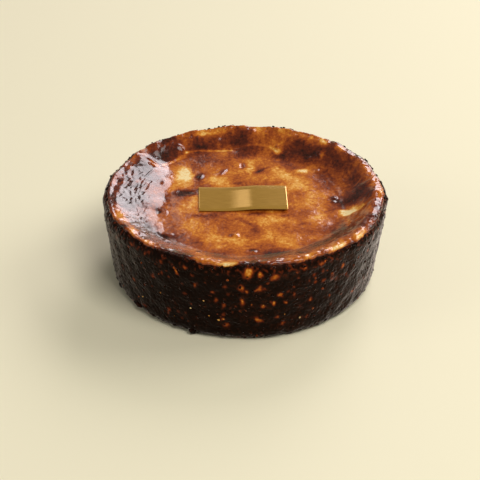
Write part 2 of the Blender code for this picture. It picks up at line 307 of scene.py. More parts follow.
def level_further(points):
    """How much lower the top is behind its left, where its floor reaches nearer to the rim."""
    radius = radius_of(points)
    lower = rise(radius, DISH_RADIUS + LEVEL_FURTHER) - rise(radius, DISH_RADIUS)
    behind_left = ease(facing(points, LEVEL_TOWARDS), *LEVEL_COSINES)
    return DISH_SINK * lower * behind_left * (radius < CREST_RADIUS)


def shoulder(even):
    """How much the right side of the rim is lifted, or lowered past the shoulder's top."""
    radius, height = radius_of(even), even[:, 2]
    over_wall = ease(height, WIDEST_HEIGHT, CAKE_HEIGHT)
    share = np.where(radius < CREST_RADIUS, height > WIDEST_HEIGHT / 2, over_wall)
    lift = SHOULDER_RISE * ease(radius, SHOULDER_START, SHOULDER_TOP)
    lift = lift - SHOULDER_DROP * ease(radius, SHOULDER_TOP, SHOULDER_END)
    return lift * ease(facing(even, SHOULDER_TOWARDS), *SHOULDER_COSINES) * share


def settle(even, points):
    """Tilts the rim and leans the base as the CAD model does, and puts the cake over its centre."""
    share = ease(radius_of(even), DISH_RADIUS, CREST_RADIUS)
    share = share * ease(even[:, 2], WIDEST_HEIGHT - RIM_TILT_DEPTH, WIDEST_HEIGHT)
    moved = points + CENTRE - BASE_LEAN * (1 - even[:, 2:] / WIDEST_HEIGHT)
    moved[:, 2] += RIM_TILT * facing(even, RIM_TILT_TOWARDS) * share + shoulder(even)
    return moved


# %% [markdown]
# ## The lip
#
# The baked top rolls over the rim and ends in a wavy lip, and the charred coat starts under it.
# Two pieces meet along that line, so both ask the same function where it runs: how far past the
# crest, by angle. The list holds the waves that are easy to see, and noise adds the small ones.

# %% Where the top ends and the coat starts
LIP = [  # (degrees round the cake, mm past the crest)
    (-180, 1.2), (-170, 2.2), (-160, 3), (-150, 1.6), (-140, 2), (-130, 2.2), (-120, 0.8),
    (-114, 1.2), (-106, 3.2), (-98, 3.8), (-92, 0.9), (-86, 0.8), (-79, 3), (-70, 3.8),
    (-60, 3.4), (-50, 4), (-38, 5), (-28, 5), (-18, 3.8), (0, 2), (40, 1.6), (70, 0.8),
    (100, 1), (130, 2.2), (150, 1),
]


def past_lip(length, turn):
    """How far past the lip a point of the outline lies, in mm. Negative is on the baked top."""
    angles, depths = zip(*LIP)
    depth = np.interp(np.degrees(turn), angles, depths, period=360)
    on_circle = np.column_stack((np.cos(turn), np.sin(turn), np.zeros(len(turn)))) * CAKE_RADIUS
    depth = depth + 0.9 * drift(on_circle, 4, 44) + 0.5 * drift(on_circle, 1.8, 45)
    return length - LENGTH_TO_CREST - depth


# %% [markdown]
# ## The baked top
#
# The top is the cake's browned skin, from the middle of the dish to under its lip. It could be
# a disc of rings, but rings crowd at the centre. A square grid pressed into a disc keeps its
# squares almost equal, and each point is then laid along the outline. The open edge is
# extruded in and down and closed, so the piece is a solid.

# %% Press a grid into a disc and raise it to the outline
TOP_CELLS = 300
TOP_LENGTH = LENGTH_TO_CREST + 9  # some of it lies under the lip, inside the coat

deselect_all()
bpy.ops.mesh.primitive_grid_add(x_subdivisions=TOP_CELLS, y_subdivisions=TOP_CELLS, size=2)
baked_top = take("baked_top")

a, b = read_points(baked_top)[:, :2].T
wide = np.abs(a) > np.abs(b)
share = np.where(wide, a, b)
safe = np.where(share == 0, 1, share)
top_turn = np.where(wide, math.pi / 4 * b / safe, math.pi / 2 - math.pi / 4 * a / safe)
top_turn = np.where(share < 0, top_turn + math.pi, top_turn)
top_turn = turn_from(top_turn, 0)
top_length = np.abs(share) * TOP_LENGTH
top_even, top_out = on_outline(top_length, top_turn)
top_past_lip = past_lip(top_length, top_turn)
print(f"{baked_top.name}: {len(a)} points, about {2 * TOP_LENGTH / TOP_CELLS:.1f} mm apart")

# %% [markdown]
# ## Scorch marks
#
# The top's colour shows how long each spot baked: cream where it cracked open, gold and
# orange in the dish, red-brown up the slopes, black where it caught. It could be painted on an
# image, but the points lie close enough together to hold it themselves, with no UV map. One
# number on each, called bake, runs from 0 for cream to 1 for black. Large marks are listed
# ovals, warped so that none looks oval. A few cracks are less baked lines.

# %% Marks in the dish and on its slopes
MARKS = [  # ((x, y), (half length, half width), how much more it is baked, perhaps a turn)
    # the dark right-hand side of the back slope
    ((49, 63), (10, 8), 0.3, -20), ((48, 61), (7, 4), 0.12), ((42, 74), (9, 5), 0.16, -35),
    ((64, 47), (12, 8), 0.02, -55), ((57.5, 59), (1.8, 3.4), -0.36), ((54, 34), (10, 16), 0.24),
    # the right slope
    ((76, 10), (11, 13), 0.14), ((76, 3), (9, 5), 0.12, 10), ((63, 6), (4, 4), 0.3),
    ((81, 28), (5, 9), 0.1), ((80, 19), (4, 1.4), -0.26, 30),
    # the back slope and the band over the long crack
    ((-25, 79), (20, 4.5), 0.18, 5), ((-34, 76), (6, 3), 0.12), ((-10, 85), (12, 4), 0.12),
    ((-30, 88), (10, 3), -0.12, 10), ((8, 70), (26, 7), 0.12), ((25, 68), (4, 2.4), 0.08),
    ((10, 86), (7, 3), -0.06, 5), ((28, 88), (3.5, 5), -0.04), ((20, 80), (14, 6), -0.1, -5),
    ((24, 72), (3.2, 2.4), -0.38, -20), ((24.5, 64.5), (2, 3), -0.22),
    ((57, 74), (3.4, 6), -0.24, 40), ((69, 61), (3.4, 5), -0.22, 45), ((-56, 64), (14, 7), 0.16, 48),
    # the left slope
    ((-84, -4), (4, 20), 0.08), ((-72, 36), (8, 6), 0.02, 60), ((-68, -18), (8, 20), 0.1),
    ((-67, -41), (7, 8), 0.22, 30), ((-60, 58), (10, 5), 0.08, 50), ((-60, -54), (13, 7), 0.08, -35),
    ((-78, 13), (6, 2.2), 0.26, 40), ((-81, 20), (9, 1.6), 0.2, 67), ((-74, 32), (12, 2), 0.2, 66),
    ((-79, 34), (7, 1.4), 0.16, 70), ((-85, 3), (8, 1.6), 0.16, 75), ((-84, -7), (3, 4), 0.2),
    ((-70, 43), (2.6, 1.3), 0.24, -50), ((-67.5, 47), (3, 2.2), -0.36, -20),
    ((-81, -42), (3, 14), -0.16, 25),
    # pale places in the dish
    ((-43.5, 36), (7, 8), -0.5, 10), ((-50, 47), (9, 5.5), -0.34, -10), ((-42, 27), (4, 5), -0.04),
    ((4, 48), (2.8, 8), -0.28), ((41.5, 47), (5.5, 4), -0.5, 10), ((25, 37), (13, 6.5), -0.22, 5),
    ((-12, 34), (8, 4), -0.06), ((77, -12), (10, 4.6), -0.42, 8),
    ((79.5, -11), (1.3, 3.4), 0.22, -12), ((73.5, -10), (2.2, 1.2), 0.16, 10),
    ((85, -9), (3, 2), 0.14, 20), ((73, -15), (4.5, 3.4), -0.4), ((68, -11), (3.5, 2.5), -0.34),
    ((-22, -32), (16, 9), -0.1), ((17, -22), (9, 5), -0.1), ((22, -38), (12, 9), -0.04),
    ((40, 15), (8, 16), -0.08), ((44, -20), (12, 5), -0.06, 10), ((-44, -30), (5, 6), -0.12),
    ((-20, -44), (7, 3), -0.1), ((-38, -3), (5, 6), -0.08), ((49, -9), (14, 22), -0.06),
    ((4, -54), (24, 12), -0.05),
    # dark spots in the dish, and two ovals of painted shadow in front of the label
    ((-57, -48), (5, 3), 0.4, -35), ((-42, 14.5), (10, 5.5), 0.5, 8), ((-50, -4), (5, 4), 0.2),
    ((-50, 48), (3, 4), 0.14, 20), ((-37, 49), (3, 4), 0.12), ((-43, 30), (5, 2), 0.1),
    ((-33, -19), (8, 3), 0.26, -5), ((-61, -13), (2, 3), 0.4), ((-32.5, 36), (3, 5), 0.4, -10),
    ((-17, 44), (2.4, 6), 0.28, -30), ((-2, 54), (2, 4.5), 0.3), ((-22, 56), (20, 8), 0.1),
    ((13, 48), (9, 2), 0.24, 40), ((10, 42), (2, 3.5), 0.16), ((-5, 28), (3.5, 2.4), 0.22),
    # painted shadow: the first oval on this line and the last on the next lie just in front of the
    # label's right half
    ((10, -13.5), (8, 2.6), 0.28, 3), ((2, -26), (11, 3), 0.15, -35), ((8, -35), (3.5, 6), 0.16),
    ((6, -45), (4, 3), 0.1), ((-2, -22), (5, 3), 0.1), ((27, -17), (5, 2.4), 0.16),
    ((42, -27), (3, 2), 0.12), ((5, -63), (3.4, 2.2), 0.34), ((-8, -43.5), (2.4, 2), 0.26),
    ((-18, -54), (6, 2), 0.1, 10),
    # the front slope
    ((28, -67), (20, 6), 0.26, 16), ((55, -54), (18, 9), 0.3, 42), ((35, -76), (20, 4), 0.12, 25),
    ((-50, -64), (13, 10), 0.04, -50), ((0, -78), (34, 5), 0.06), ((14, -68), (20, 5), 0.12, 8),
    ((70, -42), (8, 7), 0.08, 42), ((35, -80), (4, 1.2), 0.22, -66), ((42, -78), (3.5, 1.2), 0.22, -62),
    ((65, -55), (4, 1.2), 0.22, -40), ((-32, -67), (4, 1.4), 0.22, -115),
    ((72, -30), (10, 0.9), -0.2, 85),
]
CRACKS = [  # (corners, width, how much less it is baked), in mm
    ([(-60, 51), (-55, 55), (-50, 60), (-45, 65), (-43, 69)], 1.4, 0.34),
    ([(-43, 69), (-35, 72.5), (-25, 74), (-10, 75.5)], 0.8, 0.34),
    ([(2, 79), (9, 80), (16, 78), (22, 74)], 1.2, 0.20),
]

# %% [markdown]
# The rim has its own marks: golden patches where the cheese rolled over, and gaps where it is
# black. They are placed by angle and by distance from the crest, outwards positive.

# %% Marks on the rim
RIM_MARKS = [  # ((angle, mm past the crest), (half degrees, half width), how much more it is baked)
    ((-178, -3), (10, 4), 0.12), ((160, -3), (20, 4), 0.14), ((-165, 0), (6, 4), 0.14),
    ((176, 0), (9, 5), 0.1), ((158, 0), (9, 5), 0.12), ((-156, -3), (6, 4), -0.16),
    ((-148.5, 0), (1.5, 3), 0.25), ((-143, 0), (4.5, 4), -0.26), ((-133, -1), (5, 4), -0.24),
    ((-126, -1), (2.5, 3), 0.08), ((-117, -1.5), (5.5, 4.5), 0.48), ((-106, 1), (5, 4), -0.24),
    ((-98, 1.5), (5.5, 4), -0.28), ((-88.5, -1), (3.6, 5), 0.5), ((-80, 0), (3.5, 3.6), -0.12),
    ((-72, 0.5), (3, 3.2), -0.2), ((-67, -1), (2, 5), 0.18), ((-62, 1), (3.5, 3), -0.2),
    ((-57, 0), (2, 4), 0.12), ((-50, 1.5), (4.5, 2.8), -0.26), ((-44, 4), (2, 2), 0.2),
    ((-37, 1.5), (6, 2.8), -0.3), ((-29, 4), (3, 2), 0.16), ((-27, 0), (3, 2.5), -0.16),
    ((-17, 2), (5, 3), 0.12), ((-3, 0), (5, 2.5), -0.26), ((12, -3), (10, 3), -0.06),
    ((25, 2.5), (24, 4), 0.32), ((40, -4), (3, 2.5), -0.2), ((51, -5), (4, 4), -0.2),
    ((84, -6), (5, 4), 0.04), ((107, -3), (8, 3), -0.2), ((128, 0), (8, 3), 0.12),
    ((173, -2), (2, 2), -0.26),
]
EVEN_BAKE, MOST_BAKED = 0.385, 0.84  # the dish before its marks, and the darkest of the top
SLANT = np.array(((0.9, 0.43, 0), (-0.43, 0.9, 0), (0, 0, 1)))


def slanted_along(points):
    """Points turned and squeezed, so that a noise read there is drawn out along the left slope."""
    return points @ SLANT * (1.0, 0.4, 1)


def top_bake(points, length, turn, past):
    """How far each point of the top is baked, with some painted shade: the label's shadow and part of
    the lip's dark line.
    """
    x, y = points[:, 0], points[:, 1]
    radius = radius_of(points)
    across, up = (
        way + 2.6 * drift(points, 8, layer) + 1.0 * drift(points, 3, layer + 1)
        for way, layer in ((x, 21), (y, 23))
    )
    drawn_out = np.column_stack((across, up * 0.6, points[:, 2]))
    bake = EVEN_BAKE + 0.28 * drift(points, 16, 25) + 0.09 * drift(drawn_out, 5, 26)
    bake += 0.10 * drift(drawn_out, 2.0, 28)

    # the left slope has dark streaks, and is darker where it shines
    below_rim = 1 - ease(radius, 88, 93)
    streaks = 0.03 + 0.30 * ease(drift(slanted_along(points), 2.2, 46), 0.24, 0.5)
    bake += streaks * ease(-x, 70, 80) * below_rim
    under_sheen = 0.10 + 0.13 * ease(y, -25, 0) * (1 - ease(y, 38, 50))
    bake += under_sheen * ease(-x, 50, 60) * below_rim

    # the right side and the slopes, most of all at the back, are darker than the dish
    bake += 0.03 * ease(x, 54, 70)
    backward = ease(y / np.maximum(radius, 1), -0.5, 0.4)
    bake += (0.12 + 0.01 * backward) * ease(radius, 60, 80)
    bake -= 0.03 * ease(radius, 86, 93)
    mottled = 0.16 * drift(points, 7, 27) + 0.09 * drift(points, 3, 36)
    bake += ease(radius, 84, 92) * mottled

    for middle, size, amount, *turned in MARKS:
        bake += amount * oval(across, up, middle, size, *turned)
    broken = np.clip(0.9 + 0.5 * drift(points, 5, 29), 0, 1)
    for corners, width, amount in CRACKS:
        bake -= amount * broken * near_line(x, y, corners, width)
    from_crest = length - LENGTH_TO_CREST + 1.5 * drift(points, 4, 35)
    for (degrees, out), (half_turn, half_width), amount in RIM_MARKS:
        round_rim = turn_from(turn, math.radians(degrees)) * CREST_RADIUS
        size = (math.radians(half_turn) * CREST_RADIUS, half_width)
        bake += amount * oval(round_rim, from_crest, (0, out), size)
    # partly painted shade: the dark line along the lip is dark caramel and also the shade under the
    # lip's overhang
    bake += 0.28 * np.exp(-(((past - 0.1) / 0.6) ** 2))  # a dark line along the lip
    return np.clip(bake, 0.0, MOST_BAKED)


bake = top_bake(top_even, top_length, top_turn, top_past_lip)
print(f"{len(MARKS) + len(RIM_MARKS)} marks, bake {bake.min():.2f} to {bake.max():.2f}")

# %% [markdown]
# ## Blisters, pits and wrinkles of the top
#
# The skin blistered, tore and sank as it baked. A bump texture could show that, but it would
# leave the rim's outline smooth, so we give the mesh real relief. Large blisters and pits are
# ovals of height. The left slope has small pits, the lowest parts of a noise, so they are
# uneven in size and place. The whole skin wrinkles finely, a few places are grainy with
# bubbles, and the rim has folds. Under the label the top stays calm, because the card lies on
# it. Where the skin dried it is dull, and a second number called dull says so.


# %% Height of the top's own relief
BUMPS = [  # ((x, y), (half length, half width), height, perhaps a turn)
    ((-50, 15), (2, 4), 0.3, -20), ((-40, 14), (7, 3), -0.5, 5), ((-57, -48), (5, 3), -1.5, -35),
    ((-52, -44), (4, 2.4), 0.6, -35), ((-54, -54), (4, 2), 0.6, -35), ((-6.4, -43.5), (2.2, 2), 0.8),
    ((4, -62.6), (2.8, 1.6), -0.15), ((6.4, -64), (1.6, 1.4), 0.6), ((-61, -13), (1.8, 3), -1),
    ((-57, -15), (2.6, 4), 0.4), ((-57, -30), (2, 3), -0.3, 10), ((-58, 24), (2.4, 4), 0.3, -10),
    ((-57, 6), (2, 3), -0.25, 10), ((-33, 36), (2.4, 4), 0.6, -30), ((-17, 44), (2.6, 6), 0.5, -30),
    ((-2, 54), (1.8, 4), -0.25), ((50, 63), (13, 9), 0.9, -20), ((54, 62), (2, 1.6), 0.9),
    ((48, 60), (1.6, 1.6), 0.8), ((76, 6), (9, 8), 0.8, 20), ((64, 8), (2, 2), 0.9),
    ((63, 3), (1.6, 1.6), 0.6), ((53, 46), (1.2, 2.4), 0.9, -20),
    ((-68.5, 45), (2.6, 1.6), -1.1, -40), ((-68, 51), (4, 1.8), 0.9, -25),
    ((-48, 72), (3, 1.6), 1, -20), ((24, 76), (2, 1.6), 0.9), ((60, -54), (5, 1.3), 0.5, -50),
    ((38, -73), (6, 1.3), 0.8, -63), ((23, -79), (4, 1.2), 0.6, -74), ((9, -90), (3, 1.3), 0.7, -85),
    ((50, -73), (3.4, 1.3), 0.7, -56), ((72, -30), (1, 8), -0.5, 5), ((80, -14), (9, 1.2), -0.9, 12),
]
# ((x, y), (half length, half width)) of dull places and of grainy ones
DULL = [((-68, -16), (9, 17)), ((-58, -30), (7, 14)), ((-66, -40), (12, 10)), ((-52, -60), (16, 12))]
GRAINY = [((49, -30), (8, 14)), ((36, -46), (9, 5)), ((-46, -34), (18, 18)), ((-36, 55), (14, 10))]
# places where the large unevenness is calmer, as marks are, with the share that goes
CALM = [((-44, 74), (22, 12), 0.8, 35), ((-12, 83), (9, 6), 0.7), ((54, 36), (12, 16), 0.95)]
SKIN_DEPTH, SKIN_DRAWN_IN = 9, 0.93  # how far its edge goes down and in, to close the piece
LABEL_LENGTH, LABEL_WIDTH = 63, 33
LABEL_CENTRE, LABEL_TURN = (-1.67, 4.7), math.radians(2)


def beside_label(points):
    """0 under the label and 1 from a little outside its edge."""
    c, s = math.cos(LABEL_TURN), math.sin(LABEL_TURN)
    dx, dy = points[:, 0] - LABEL_CENTRE[0], points[:, 1] - LABEL_CENTRE[1]
    outside = np.maximum(
        np.abs(dx * c + dy * s) - LABEL_LENGTH / 2, np.abs(dy * c - dx * s) - LABEL_WIDTH / 2
    )
    return ease(outside, 0, 3)


def top_relief(points, past):
    """Height of blisters, pits, wrinkles, grain and folds at each point of the top."""
    x, y = points[:, 0], points[:, 1]
    radius = radius_of(points)
    slanted = slanted_along(points)
    left = ease(-x, 58, 74) * (1 - ease(radius, 86, 92))
    wrinkle = 0.16 * drift(points, 5, 31) + 0.07 * drift(points, 2.2, 32)
    relief = wrinkle * (0.45 + 0.5 * ease(radius, 60, 90) - 0.35 * left)
    relief -= 0.4 * left * ease(drift(slanted, 3.6, 34), 0.38, 0.7)
    relief -= 0.3 * left * ease(drift(slanted, 2.2, 46), 0.28, 0.55)

    # fine grain everywhere, coarser in the grainy places and in two bands of the left slope
    grainy = sum(oval(x, y, middle, size) for middle, size in GRAINY)
    inner = ease(-x, 46, 60) * (1 - ease(-x, 70, 80))
    inner = 2.2 * inner * ease(-y, -4, 14)
    outer = ease(-x, 68, 76) * (1 - ease(-x, 84, 90))
    relief += 0.02 * drift(points, 1.2, 33) + 0.11 * grainy * drift(points, 1.15, 47)
    relief += 0.16 * np.maximum(inner, outer) * drift(points * (1, 0.45, 1), 2.2, 48)

    for middle, size, amount, *turned in BUMPS:
        relief += amount * oval(x, y, middle, size, *turned)
    for corners, width, _ in CRACKS:
        relief -= 0.1 * near_line(x, y, corners, width + 0.3)
    folds = ease(radius, 88, 95) * (1 - 0.7 * ease(-x, 70, 90))
    relief += folds * (0.5 * drift(points, 3.2, 37) + 0.12 * drift(points, 1.8, 38))

    # the lip swells, and then the skin dives under the coat
    relief += 0.5 * np.exp(-(((past + 1.6) / 1.4) ** 2)) - 1.6 * ease(past, -0.3, 1.2)
    return relief * beside_label(points)


# %% Shape the top and close it
top_x, top_y = top_even[:, 0], top_even[:, 1]
calmed = np.ones(len(top_even))
for middle, size, amount, *turned in CALM:
    calmed *= 1 - amount * oval(top_x, top_y, middle, size, *turned)
relief = large_relief(top_even) * calmed + left_slope(top_even) + level_further(top_even)
relief += top_relief(top_even, top_past_lip)
write_points(baked_top, settle(top_even, top_even + top_out * relief[:, None]))

bpy.ops.object.mode_set(mode="EDIT")
bpy.ops.mesh.select_mode(type="EDGE")
bpy.ops.mesh.select_all(action="DESELECT")
bpy.ops.mesh.select_non_manifold(extend=False)
bpy.ops.mesh.extrude_region_move(TRANSFORM_OT_translate={"value": (0, 0, -SKIN_DEPTH * MM)})
bpy.ops.transform.resize(value=(SKIN_DRAWN_IN, SKIN_DRAWN_IN, 1), center_override=(0, 0, 0))
bpy.ops.mesh.edge_face_add()
bpy.ops.mesh.select_all(action="SELECT")
bpy.ops.mesh.normals_make_consistent(inside=False)
bpy.ops.object.mode_set(mode="OBJECT")
bpy.ops.object.shade_smooth()
dull = sum(oval(top_x, top_y, middle, size) for middle, size in DULL)
store(baked_top, "bake", bake, rest=0.9)
store(baked_top, "dull", dull * (0.6 + 0.6 * drift(top_even, 3, 56)))
print(f"{baked_top.name}: {triangles(baked_top)} triangles")

# %% [markdown]
# ## The charred coat
#
# Below its lip the cake wears a coat of dark crumbs. It could be part of the top's mesh, but a
# piece of its own gets its own material and a sharp line at the lip. We cut the side of a drum
# into rows and lay them along the outline, from inside the crest to the foot. Above the lip
# the coat lies sunk under the baked top, so only its lower part shows.

# %% A drum cut into rows
COAT_STEPS, COAT_ROWS = 860, 104
COAT_START = LENGTH_TO_CREST - 1.5
LID_INSET, LID_SINK = 9, 22  # the lid over the drum is pushed down inside the cake

deselect_all()
bpy.ops.mesh.primitive_cylinder_add(vertices=COAT_STEPS, radius=1, depth=1, location=(0, 0, 0.5))
coat = take("charred_coat")
bpy.ops.object.transform_apply(location=True)
for edge in coat.data.edges:
    ends = [coat.data.vertices[i].co.z for i in edge.vertices]
    edge.select = abs(ends[0] - ends[1]) > 0.5
for item in (*coat.data.vertices, *coat.data.polygons):
    item.select = False
bpy.ops.object.mode_set(mode="EDIT")
bpy.ops.mesh.select_mode(type="EDGE")
bpy.ops.mesh.subdivide(number_cuts=COAT_ROWS - 1)
bpy.ops.mesh.select_mode(type="FACE")
bpy.ops.mesh.select_all(action="DESELECT")
bpy.ops.object.mode_set(mode="OBJECT")
print(f"{coat.name}: {len(coat.data.vertices)} points on {COAT_ROWS + 1} rings")

# %% [markdown]
# Crumbs pressed into a coat make it rough all over: soft lumps at three sizes with small pits
# between them. The coat stands a little out of the baked top under the lip.


# %% Shape the coat
def coat_relief(points):
    """How far crumbs, wrinkles and pits of the coat stand out, in mm."""
    lumps = 0.2 * drift(points, 6, 43) + 0.12 * drift(points, 2.4, 40)
    lumps += 0.26 * drift(points, 1.5, 42)
    return lumps - 0.5 * ease(drift(points, 1.7, 39), 0.25, 0.6)


drum = read_points(coat)
coat_turn = np.arctan2(drum[:, 1], drum[:, 0])
coat_length = LENGTH_TO_FOOT + (COAT_START - LENGTH_TO_FOOT) * drum[:, 2]
coat_even, coat_out = on_outline(coat_length, coat_turn)
coat_past_lip = past_lip(coat_length, coat_turn)
sunk = -1.8 * (1 - ease(coat_past_lip, -1.2, 0.8)) + 0.5 * ease(coat_past_lip, 0.5, 3.5)
firm = 0.2 + 0.8 * ease(coat_even[:, 2], 0, 2.0)
stand_out = large_relief(coat_even) + (coat_relief(coat_even) + sunk) * firm
coat_points = settle(coat_even, coat_even + coat_out * stand_out[:, None])
coat_points[:, 2] = np.where(drum[:, 2] < 1e-6, 0, np.maximum(coat_points[:, 2], 0.1))
write_points(coat, coat_points)

lid = max(coat.data.polygons, key=lambda face: (len(face.vertices), face.center.z))
lid.select = True
bpy.ops.object.mode_set(mode="EDIT")
bpy.ops.mesh.inset(thickness=LID_INSET * MM)
bpy.ops.transform.translate(value=(0, 0, -LID_SINK * MM))
bpy.ops.object.mode_set(mode="OBJECT")
bpy.ops.object.shade_smooth()
print(f"{coat.name}: {triangles(coat)} triangles")

# %% [markdown]
# ## Amber spots in the coat
#
# Where the coat is thin the baked cheese shows through as amber spots. They could be pieces of
# their own, but a lower bake on the coat's points gives them soft edges and the top's colours.
# The large ones are listed by angle and height, and a seeded rule scatters small ones.

# %% Where the cheese shows through
AMBER = [  # ((angle, height), (half length, half width), how much less it is baked, perhaps a turn)
    ((-117.5, 53), (1.1, 4.4), 0.62, 32), ((-113.5, 57), (1.6, 1.6), 0.42),
    ((-140, 58), (2.6, 1.4), 0.42, -10), ((-129, 40), (2.2, 1.4), 0.4),
    ((-141.5, 27), (1.8, 1.6), 0.45, -30), ((-124, 47), (1.2, 1.8), 0.34),
    ((-109.5, 44), (1, 1.8), 0.45), ((-114, 35), (1.8, 1.3), 0.36),
    ((-98.5, 18), (2.6, 1.2), 0.45, 30), ((-88.6, 57.5), (3.2, 3.4), 0.62),
    ((-84, 56), (1.6, 3), 0.5), ((-78.2, 53.5), (3.2, 2.8), 0.52, 35),
    ((-91, 46), (1.9, 3), 0.55), ((-89, 43), (1.2, 1.8), 0.45), ((-84, 44.5), (2, 1.8), 0.5),
    ((-75.5, 38), (1.3, 2.6), 0.52, 35), ((-69.8, 37.5), (0.9, 1.9), 0.42),
    ((-90.5, 34), (1.7, 3.6), 0.52), ((-98, 30), (1.2, 2.2), 0.38),
    ((-82.3, 30), (1.8, 1.6), 0.5), ((-78, 31.5), (1.6, 1.6), 0.5),
    ((-72.5, 31), (1, 1), 0.34), ((-62, 29), (1.5, 1.5), 0.46),
    ((-83.5, 18), (3.4, 1.6), 0.52, -40), ((-97, 12.5), (2.2, 1.8), 0.42),
    ((-122.5, 16), (2, 2.2), 0.36), ((-137, 9), (3.6, 1.2), 0.32),
    ((-73.5, 13), (1.4, 1.8), 0.34), ((-47.5, 48), (1.4, 2), 0.5),
    ((-53, 45.5), (1.4, 1.4), 0.45), ((-52.5, 27), (0.8, 1.6), 0.4),
    ((-38.5, 18), (1.6, 1.4), 0.36), ((-59, 57), (3.4, 1.4), 0.36),
    ((-67, 57), (2.6, 1.2), 0.34), ((-27, 52), (1.6, 2), 0.36),
]
SMALL_SPOTS, GOLDEN_SHARE = 320, 0.618034  # golden steps round the wall keep them well apart
SPOT_STRENGTH = 1.25
SPOT_REACH = 0.12  # how far round the wall a spot can reach, in radians


def all_spots():
    """The spots placed by hand and the small scattered ones."""
    rng = np.random.default_rng(53)
    spots = list(AMBER)
    for i in range(SMALL_SPOTS):
        place = (-180 + 360 * ((i * GOLDEN_SHARE) % 1.0), 58 * rng.uniform(0.1, 1) ** 0.7)
        size = rng.uniform(0.6, 1.6)
        shape = (size, size * rng.uniform(0.7, 1.6))
        turned, amount = rng.uniform(-40, 40), rng.uniform(0.12, 0.40)
        spots.append((place, shape, amount, turned))
    return spots


def coat_bake(points, turn, past):
    """How far each point of the coat is baked: almost black, with amber spots, and painted a little
    lighter towards its front right, where light falls from the right.
    """
    warp = 1.0 * drift(points, 2.5, 51)
    bake = 1.03 + 0.05 * drift(points, 7, 52) + 0.07 * drift(points, 2.6, 54)
    # painted light: the coat is a little lighter round its front right, the side lit from the right
    bake -= 0.05 * ease(np.cos(turn + math.radians(40)), 0.3, 0.9)
    # amber specks near the lip
    bake -= 0.34 * np.exp(-(((past - 3) / 4) ** 2)) * ease(drift(points, 2.2, 55), 0.05, 0.5)
    bake -= 0.10 * (1 - ease(past, 0.5, 2.0))
    for (degrees, level), size, amount, *turned in all_spots():
        away = turn_from(turn, math.radians(degrees))
        near = np.abs(away) < SPOT_REACH
        round_wall = away[near] * 98 + warp[near]
        height = points[near, 2] + warp[near]
        bake[near] -= SPOT_STRENGTH * amount * oval(round_wall, height, (0, level), size, *turned)
    return bake


store(coat, "bake", coat_bake(coat_even, coat_turn, coat_past_lip), rest=0.95)
print(f"{len(AMBER)} amber spots by hand")

# %% [markdown]
# ## Loose crumbs
#
# Small angular crumbs stand out of the coat and break its outline, mostly along the lip and
# the foot. Particles could scatter them, but all would be alike. We make one array instead: for
# each crumb a jittered ball of twenty faces, turned, flattened and pressed into the wall.


# %% Scatter crumbs
def ball_of_twenty():
    """Points and faces of Blender's smallest icosphere."""
    deselect_all()
    bpy.ops.mesh.primitive_ico_sphere_add(subdivisions=1, radius=1)
    ball = bpy.context.object
    points = read_points(ball)
    faces = np.array([face.vertices[:] for face in ball.data.polygons])
    bpy.data.objects.remove(ball)
    return points, faces


def crumbs(name, turns, lengths, sizes, bakes, rng):
    """One piece of many crumbs, at angles and lengths along the outline."""
    ball, faces = ball_of_twenty()
    middles, outs = on_outline(lengths, turns)
    middles = middles + outs * (large_relief(middles) + 0.2 * sizes + 0.1)[:, None]
    all_points = []
    for middle, out, size in zip(middles, outs, sizes):
        lump = ball * rng.uniform(0.75, 1.2, (len(ball), 1))
        lump = lump * size * np.array((1.0, rng.uniform(0.6, 1.0), rng.uniform(0.4, 0.65)))
        spin = np.array(Matrix.Rotation(rng.uniform(0, math.tau), 3, "Z"))
        face_out = np.array(Vector(out).to_track_quat("Z", "Y").to_matrix())
        all_points.append(lump @ spin.T @ face_out.T + middle)
    evens = np.repeat(middles, len(ball), axis=0)
    points = settle(evens, np.concatenate(all_points))
    points[:, 2] = np.maximum(points[:, 2], 0.05)
    all_faces = (faces[None] + np.arange(len(turns))[:, None, None] * len(ball)).reshape(-1, 3)
    mesh = bpy.data.meshes.new(name)
    mesh.from_pydata((points * MM).tolist(), [], all_faces.tolist())
    piece = bpy.data.objects.new(name, mesh)
    bpy.context.scene.collection.objects.link(piece)
    store(piece, "bake", np.repeat(bakes, len(ball)))
    return piece


# painted highlights: the pale crumbs are coloured cream to stand for small glints on the wall; the last
# eight are dark lumps at the foot
GLINT_CRUMBS_AND_FOOT_LUMPS = [  # (angle, height, size, bake) of pale crumbs, and of lumps at the foot
    (-106, 32, 0.9, 0.06), (-126, 28, 0.6, 0.2), (-112, 23, 0.9, 0.04), (-118, 21, 0.7, 0.2),
    (-104, 20, 0.7, 0.2), (-100, 17, 1.1, 0.12), (-98, 18, 0.8, 0.24), (-66, 15, 0.9, 0.04),
    (-77, 22, 0.6, 0.2), (-73, 21, 0.6, 0.2), (-82, 31, 0.7, 0.16), (-91, 25, 0.5, 0.28),
    (-88, 15, 0.6, 0.28), (-137, 16, 1, 0.12), (-120, 12, 0.7, 0.28), (-79, 14, 0.6, 0.28),
    (-141, 5, 3.4, 0.95), (-144, 4, 2.6, 1.00), (-112, 3.5, 3.6, 1.00), (-158, 6, 2.4, 1.00),
    (-132, 4, 2.2, 0.95), (-98, 4, 2, 1.00), (-80, 3.5, 1.8, 1.00), (-52, 4, 2.2, 1.00),
]

